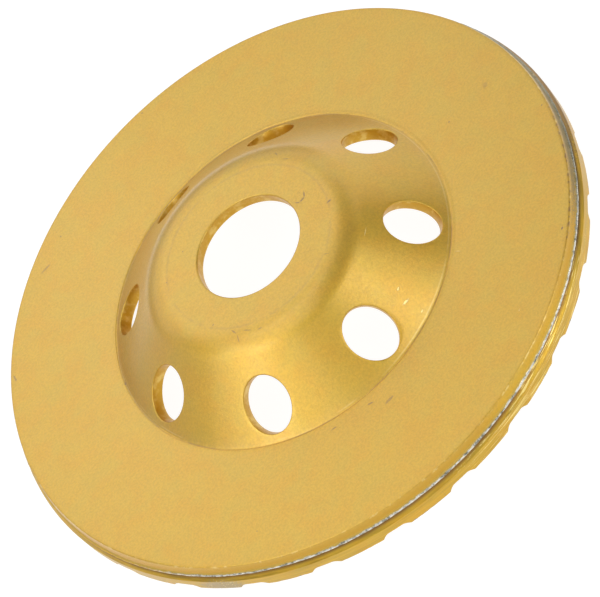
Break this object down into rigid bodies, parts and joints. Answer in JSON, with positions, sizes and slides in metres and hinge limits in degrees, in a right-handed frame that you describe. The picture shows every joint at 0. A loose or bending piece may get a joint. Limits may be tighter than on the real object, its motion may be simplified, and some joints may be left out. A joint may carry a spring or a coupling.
{
  "type": "diamond cup wheel",
  "caption": "Pressed steel grinding cup with a raised, vented centre and bore, brazed to a grooved ring of diamond abrasive.",
  "frame": {"origin": "centre of the grinding face, on the spindle axis", "axes": "+Z along the spindle axis, from the grinding face towards the raised centre; the first vent hole lies on +X"},
  "size_m": [0.125, 0.125, 0.0188],
  "materials": {
    "gold_paint": "matt metallic gold paint on pressed steel",
    "braze_alloy": "bare, bright and slightly uneven",
    "abrasive": "sintered metal and diamond under gold paint, with turned lines and worn spots"
  },
  "bodies": {
    "root": {"cup_body": "gold_paint", "braze_seam": "braze_alloy", "diamond_rim": "abrasive"}
  },
  "joints": []
}
